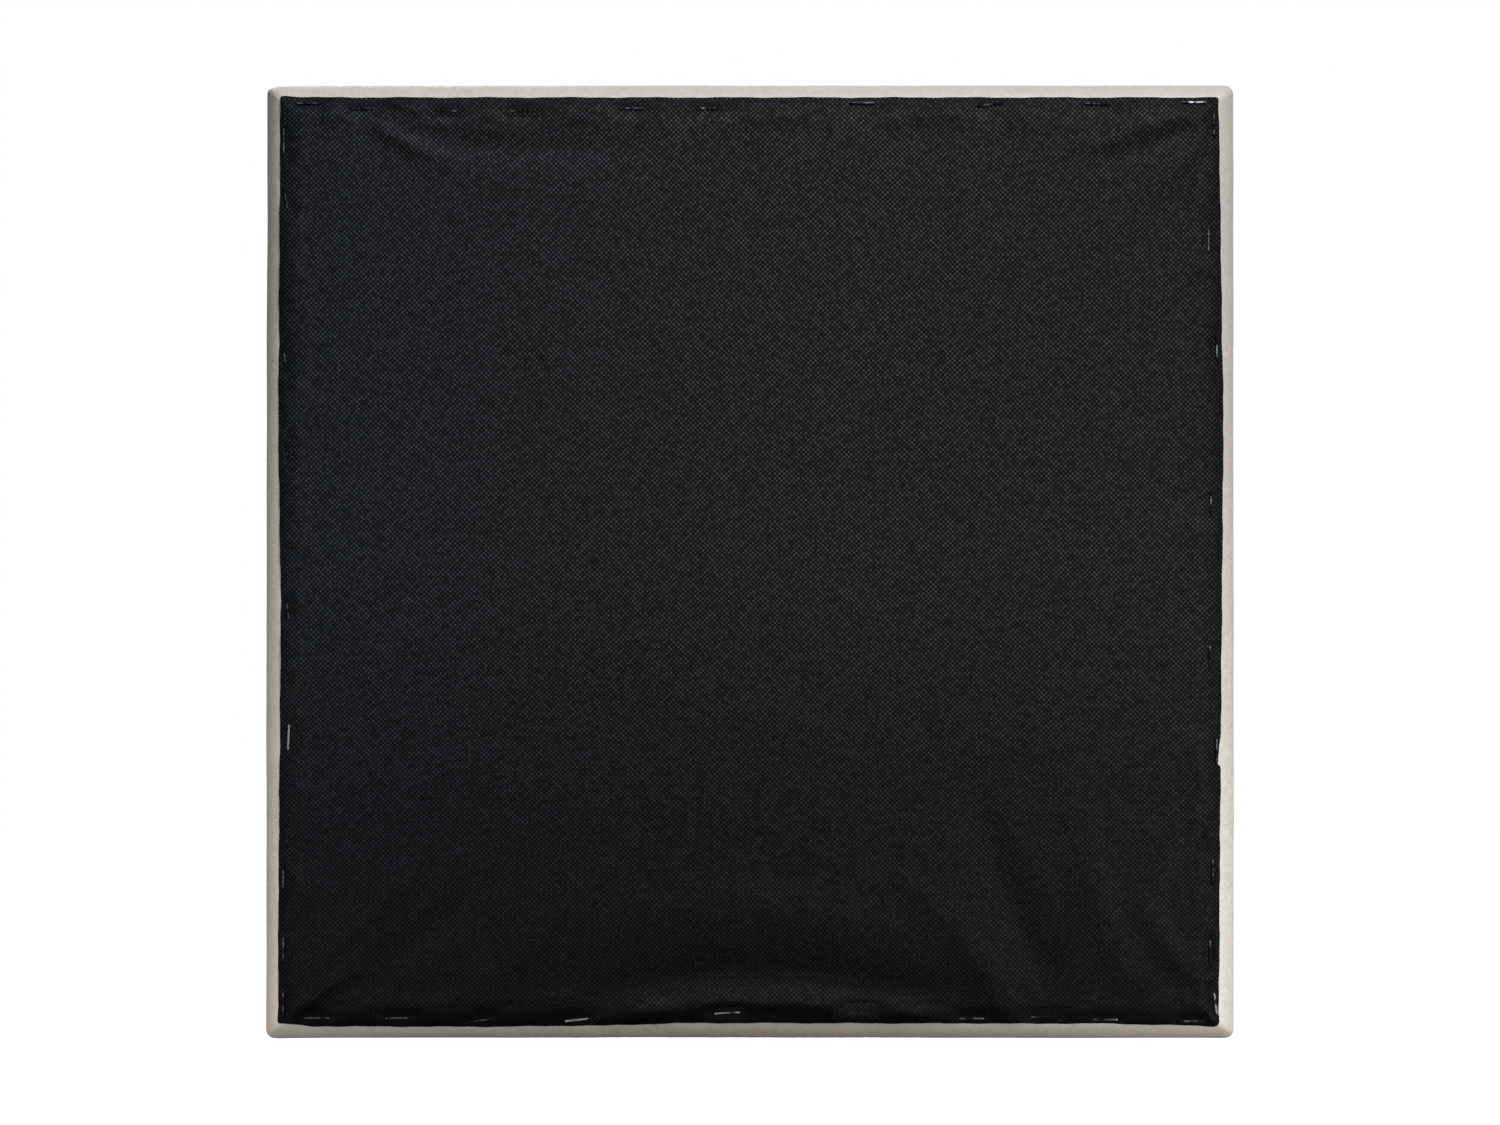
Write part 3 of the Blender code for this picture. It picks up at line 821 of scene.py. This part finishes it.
# rounded corners, one of them folded rounder than the rest
DUST_CORNER = 1.0 * MM
ROUNDER_CORNER = 2.6 * MM
rounding = np.where((grid_x < 0) & (grid_z < 0), ROUNDER_CORNER, DUST_CORNER)
straight_x = DUST_HALF_WIDTH - rounding
straight_z = DUST_HALF_HEIGHT - rounding
over_x = np.abs(grid_x) - straight_x
over_z = np.abs(grid_z) - straight_z
in_corner = (over_x > 0) & (over_z > 0)
square = np.maximum(over_x, over_z)
pull = np.where(in_corner, square / np.maximum(np.hypot(over_x, over_z), 1e-9), 1)
flat_x = np.where(in_corner, np.sign(grid_x) * (straight_x + over_x * pull), grid_x)
flat_z = np.where(in_corner, np.sign(grid_z) * (straight_z + over_z * pull), grid_z)
# the sheet's wandering edge, which fades out towards the middle
fade_left, fade_right, fade_top, fade_bottom = (
    np.clip(1 - from_side / STRAY_FADE, 0, 1) ** 2
    for from_side in (DUST_HALF_WIDTH - flat_x, DUST_HALF_WIDTH + flat_x,
                      DUST_HALF_HEIGHT - flat_z, DUST_HALF_HEIGHT + flat_z))
cloth_x = (flat_x + fade_left * edge_stray(LEFT_EDGE, flat_z)
           - fade_right * edge_stray(RIGHT_EDGE, flat_z))
cloth_z = (flat_z + fade_top * edge_stray(TOP_EDGE, flat_x)
           - fade_bottom * edge_stray(BOTTOM_EDGE, flat_x))
cloth_y = cloth_height(cloth_x, cloth_z)
points = np.stack([cloth_x, cloth_y, cloth_z], axis=1)

columns, rows = len(xs), len(zs)
number = np.arange(columns * rows).reshape(columns, rows)
quads = np.stack([number[:-1, :-1], number[:-1, 1:], number[1:, 1:], number[1:, :-1]], axis=-1)
faces = quads.reshape(-1, 4).tolist()
border = np.concatenate([number[:-1, 0], number[-1, :-1], number[:0:-1, -1], number[0, :0:-1]])
# the hem, round the edge and back in underneath, as (inset, drop) in mm
HEM_WIDTH = 9.0
HEM = [(-0.25, 0.10), (-0.42, 0.28), (-0.25, 0.46), (0.3, 0.56), (4.0, 0.58), (HEM_WIDTH, 0.58)]
rim = points[border]
last = border
for inset, drop in HEM:
    shrink = np.array([1 - inset * MM / DUST_HALF_WIDTH, 1, 1 - inset * MM / DUST_HALF_HEIGHT])
    ring = rim * shrink
    if inset > 1:
        ring[:, 1] = cloth_height(ring[:, 0], ring[:, 2])
    ring[:, 1] -= drop * MM
    fresh = len(points) + np.arange(len(border))
    points = np.concatenate([points, ring])
    turn_over = np.stack([last, np.roll(last, -1), np.roll(fresh, -1), fresh], axis=1)
    faces += turn_over.tolist()
    last = fresh
mesh = bpy.data.meshes.new("dust_cover_cloth")
mesh.from_pydata(points.tolist(), [], faces)
mesh.update()
dust_cover = bpy.data.objects.new("dust_cover_cloth", mesh)
bpy.context.scene.collection.objects.link(dust_cover)
face_outwards(dust_cover)
thickness = dust_cover.modifiers.new("thickness", "SOLIDIFY")
thickness.thickness = CLOTH
thickness.offset = -1
bpy.ops.object.modifier_apply(modifier="thickness")
bpy.ops.object.shade_smooth()

spunbond, n, link = new_material("black_spunbond")
shader = n["Principled BSDF"]
place = add(n, "ShaderNodeTexCoord")
drift = add(n, "ShaderNodeTexNoise")
drift.inputs["Scale"].default_value = 90
drift.inputs["Detail"].default_value = 2
link.new(place.outputs["Object"], drift.inputs["Vector"])
wander = add(n, "ShaderNodeVectorMath", operation="MULTIPLY_ADD")
wander.inputs[1].default_value = (0.0006, 0.0006, 0.0006)
link.new(drift.outputs["Color"], wander.inputs[0])
link.new(place.outputs["Object"], wander.inputs[2])
BOND_PITCH = 1.40 * MM
lattice = add(n, "ShaderNodeMapping")
lattice.inputs["Rotation"].default_value = (0, math.radians(45), 0)
lattice.inputs["Scale"].default_value = (1 / BOND_PITCH, 1 / BOND_PITCH, 1 / BOND_PITCH)
link.new(wander.outputs["Vector"], lattice.inputs["Vector"])
cell = add(n, "ShaderNodeVectorMath", operation="FRACTION")
link.new(lattice.outputs["Vector"], cell.inputs[0])
from_middle = add(n, "ShaderNodeVectorMath", operation="SUBTRACT")
from_middle.inputs[1].default_value = (0.5, 0.5, 0.5)
link.new(cell.outputs["Vector"], from_middle.inputs[0])
in_plane = add(n, "ShaderNodeVectorMath", operation="MULTIPLY")
in_plane.inputs[1].default_value = (1, 0, 1)
link.new(from_middle.outputs["Vector"], in_plane.inputs[0])
reach = add(n, "ShaderNodeVectorMath", operation="LENGTH")
link.new(in_plane.outputs["Vector"], reach.inputs[0])
dot = add(n, "ShaderNodeMapRange", interpolation_type="SMOOTHSTEP",
          in_1=0.56, in_2=0.04, in_3=0.0, in_4=1.0)
link.new(reach.outputs["Value"], dot.inputs[0])
cell_number = add(n, "ShaderNodeVectorMath", operation="FLOOR")
link.new(lattice.outputs["Vector"], cell_number.inputs[0])
flat_number = add(n, "ShaderNodeVectorMath", operation="MULTIPLY")
flat_number.inputs[1].default_value = (1, 0, 1)
link.new(cell_number.outputs["Vector"], flat_number.inputs[0])
chance = add(n, "ShaderNodeTexWhiteNoise")
link.new(flat_number.outputs["Vector"], chance.inputs["Vector"])
dot_strength = add(n, "ShaderNodeMapRange", in_1=0.0, in_2=1.0, in_3=0.35, in_4=1.0)
link.new(chance.outputs["Value"], dot_strength.inputs[0])
bonded = add(n, "ShaderNodeMath", operation="MULTIPLY")
link.new(dot.outputs[0], bonded.inputs[0])
link.new(dot_strength.outputs[0], bonded.inputs[1])
fibre_place = add(n, "ShaderNodeMapping")
fibre_place.inputs["Scale"].default_value = (500, 500, 2200)
link.new(place.outputs["Object"], fibre_place.inputs["Vector"])
fibre = add(n, "ShaderNodeTexNoise")
fibre.inputs["Scale"].default_value = 1.0
fibre.inputs["Detail"].default_value = 4
link.new(fibre_place.outputs["Vector"], fibre.inputs["Vector"])
cloud = add(n, "ShaderNodeTexNoise")
cloud.inputs["Scale"].default_value = 9
cloud.inputs["Detail"].default_value = 3
link.new(place.outputs["Object"], cloud.inputs["Vector"])
web = ramp(n, (0.35, (0.0008, 0.0009, 0.0010)), (0.65, (0.0014, 0.0013, 0.0015)))
link.new(cloud.outputs["Fac"], web.inputs["Fac"])
# The bonded points are painted far lighter than the web, a painted sheen for their gloss; their
# lower roughness is real
web_and_painted_point_sheen = add(n, "ShaderNodeMix", data_type="RGBA", blend_type="MIX")
web_and_painted_point_sheen.inputs["B"].default_value = (0.075, 0.073, 0.078, 1)
link.new(bonded.outputs[0], web_and_painted_point_sheen.inputs["Factor"])
link.new(web.outputs["Color"], web_and_painted_point_sheen.inputs["A"])
fibre_tone = add(n, "ShaderNodeMapRange", in_1=0.3, in_2=0.7, in_3=0.75, in_4=1.3)
link.new(fibre.outputs["Fac"], fibre_tone.inputs[0])
cloth_with_point_sheen = add(n, "ShaderNodeVectorMath", operation="SCALE")
link.new(web_and_painted_point_sheen.outputs["Result"], cloth_with_point_sheen.inputs[0])
link.new(fibre_tone.outputs[0], cloth_with_point_sheen.inputs["Scale"])
# painted light and shade: cooler along one side and warmer along the other for the lamps' tints,
# and darker towards the bottom as painted shade
where = add(n, "ShaderNodeSeparateXYZ")
link.new(place.outputs["Object"], where.inputs["Vector"])
sideways = add(n, "ShaderNodeMapRange", in_1=0.19, in_2=-0.19, in_3=0.0, in_4=1.0)
link.new(where.outputs["X"], sideways.inputs[0])
upwards = add(n, "ShaderNodeMapRange", in_1=-0.19, in_2=0.19, in_3=0.0, in_4=1.0)
link.new(where.outputs["Z"], upwards.inputs[0])
painted_light_tint = ramp(n, (0.0, (0.58, 0.74, 0.82)), (0.3, (0.80, 0.80, 0.90)),
              (0.6, (0.90, 0.90, 0.90)), (1.0, (0.84, 0.74, 0.76)))
link.new(sideways.outputs[0], painted_light_tint.inputs["Fac"])
painted_shade_to_bottom = ramp(n, (0.0, (0.20, 0.22, 0.25)), (0.25, (0.46, 0.46, 0.52)),
                    (0.5, (0.92, 0.93, 0.94)), (1.0, (1.1, 1.08, 1.1)))
link.new(upwards.outputs[0], painted_shade_to_bottom.inputs["Fac"])
painted_light_and_shade = add(n, "ShaderNodeMix", data_type="RGBA", blend_type="MULTIPLY", in_0=1.0)
link.new(painted_light_tint.outputs["Color"], painted_light_and_shade.inputs["A"])
link.new(painted_shade_to_bottom.outputs["Color"], painted_light_and_shade.inputs["B"])
# the hem is two layers thick, so nothing pale shows through it; towards the edge the cloth is also
# darkened as painted shade, where it slopes away from the light and sits in the staples' pockets
share_x = add(n, "ShaderNodeMath", operation="ABSOLUTE")
share_z = add(n, "ShaderNodeMath", operation="ABSOLUTE")
link.new(where.outputs["X"], share_x.inputs[0])
link.new(where.outputs["Z"], share_z.inputs[0])
in_x = add(n, "ShaderNodeMath", operation="SUBTRACT", in_1=DUST_HALF_WIDTH)
in_z = add(n, "ShaderNodeMath", operation="SUBTRACT", in_1=DUST_HALF_HEIGHT)
link.new(share_x.outputs[0], in_x.inputs[0])
link.new(share_z.outputs[0], in_z.inputs[0])
to_edge = add(n, "ShaderNodeMath", operation="MAXIMUM")
link.new(in_x.outputs[0], to_edge.inputs[0])
link.new(in_z.outputs[0], to_edge.inputs[1])
hem_layers_and_painted_edge_shade = add(n, "ShaderNodeMapRange", in_1=-HEM_WIDTH * MM, in_2=-2 * MM, in_3=1.0, in_4=0.5)
link.new(to_edge.outputs[0], hem_layers_and_painted_edge_shade.inputs[0])
shaded = add(n, "ShaderNodeVectorMath", operation="SCALE")
link.new(cloth_with_point_sheen.outputs["Vector"], shaded.inputs[0])
link.new(hem_layers_and_painted_edge_shade.outputs[0], shaded.inputs["Scale"])
cloth_with_painted_light = add(n, "ShaderNodeMix", data_type="RGBA", blend_type="MULTIPLY", in_0=1.0)
link.new(shaded.outputs["Vector"], cloth_with_painted_light.inputs["A"])
link.new(painted_light_and_shade.outputs["Result"], cloth_with_painted_light.inputs["B"])
link.new(cloth_with_painted_light.outputs["Result"], shader.inputs["Base Color"])
cloth_rough = add(n, "ShaderNodeMapRange", in_1=0.0, in_2=1.0, in_3=0.75, in_4=0.45)
link.new(bonded.outputs[0], cloth_rough.inputs[0])
link.new(cloth_rough.outputs[0], shader.inputs["Roughness"])
relief = add(n, "ShaderNodeMath", operation="MULTIPLY_ADD", in_1=-1.0)
link.new(bonded.outputs[0], relief.inputs[0])
link.new(fibre.outputs["Fac"], relief.inputs[2])
bump = add(n, "ShaderNodeBump")
bump.inputs["Strength"].default_value = 0.5
bump.inputs["Distance"].default_value = 0.08 * MM
link.new(relief.outputs[0], bump.inputs["Height"])
link.new(bump.outputs["Normal"], shader.inputs["Normal"])
shader.inputs["Specular IOR Level"].default_value = 0.1
finished(dust_cover, spunbond, "black_spunbond", "dust_cover")


# ---------------------------------------------------------------------------------------------
# Studio: a pale floor, a white surround, soft light from above and the right, and the camera
# square to the pad's back.

bpy.ops.mesh.primitive_plane_add(size=14, location=(0, 0, -0.45))
floor = bpy.context.object
floor.name = "floor"
pale, n, link = new_material("pale_floor")
shader = n["Principled BSDF"]
shader.inputs["Base Color"].default_value = (0.85, 0.85, 0.85, 1)
shader.inputs["Roughness"].default_value = 0.8
shader.inputs["Emission Color"].default_value = (1, 1, 1, 1)
shader.inputs["Emission Strength"].default_value = 1.0
floor.data.materials.append(pale)
floor.visible_diffuse = False
floor.visible_glossy = False

world = bpy.data.worlds.new("studio")
world.use_nodes = True
bpy.context.scene.world = world
wn, wl = world.node_tree.nodes, world.node_tree.links
seen = wn["Background"]
seen.inputs["Color"].default_value = (1, 1, 1, 1)
seen.inputs["Strength"].default_value = 1.0
ambient = wn.new("ShaderNodeBackground")
ambient.inputs["Color"].default_value = (0.95, 0.98, 1.0, 1)
ambient.inputs["Strength"].default_value = 0.05
path = wn.new("ShaderNodeLightPath")
either = wn.new("ShaderNodeMixShader")
wl.new(path.outputs["Is Camera Ray"], either.inputs["Fac"])
wl.new(ambient.outputs[0], either.inputs[1])
wl.new(seen.outputs[0], either.inputs[2])
wl.new(either.outputs[0], wn["World Output"].inputs["Surface"])


def soft_light(name, location, size, power, colour):
    """A round lamp turned towards the pad's middle, unseen by the camera."""
    lamp = bpy.data.lights.new(name, "AREA")
    lamp.shape = "DISK"
    lamp.size = size
    lamp.energy = power
    lamp.color = colour
    holder = bpy.data.objects.new(name, lamp)
    holder.location = location
    holder.rotation_euler = Vector(location).to_track_quat("Z", "Y").to_euler()
    holder.visible_camera = False
    bpy.context.scene.collection.objects.link(holder)


soft_light("key", (-0.5, 1.25, 1.9), 0.9, 44, (0.985, 0.99, 1.0))
soft_light("window", (-0.9, 2.0, 1.3), 0.9, 10, (0.99, 0.99, 1.0))
soft_light("from_the_front", (-0.3, 2.8, 0.5), 0.9, 6, (1.0, 0.98, 0.95))
soft_light("low_right", (-0.40, 0.24, -0.22), 0.16, 0.9, (1.0, 0.965, 0.91))
soft_light("low_left", (0.46, 0.30, -0.25), 0.16, 0.85, (1.0, 0.955, 0.90))
soft_light("face_key", (0.9, -1.8, 1.4), 1.2, 42, (1.0, 0.99, 0.97))
soft_light("face_fill", (-1.0, -2.1, 0.4), 1.4, 14, (0.97, 0.985, 1.0))

LENS = 135
SENSOR = 36
FRAME_WIDTH = 0.62115                  # what the view takes in, at the depth of the pad's outline
OUTLINE_DEPTH = 10.5 * MM
CAMERA_DROP = 0.3 * MM
camera = bpy.data.cameras.new("camera")
camera.lens = LENS
camera.sensor_width = SENSOR
viewer = bpy.data.objects.new("camera", camera)
viewer.location = (0, FRAME_WIDTH * LENS / SENSOR - OUTLINE_DEPTH, -CAMERA_DROP)
viewer.rotation_euler = (math.radians(90), 0, math.radians(180))
bpy.context.scene.collection.objects.link(viewer)
bpy.context.scene.camera = viewer
bpy.context.scene.view_settings.view_transform = "Standard"
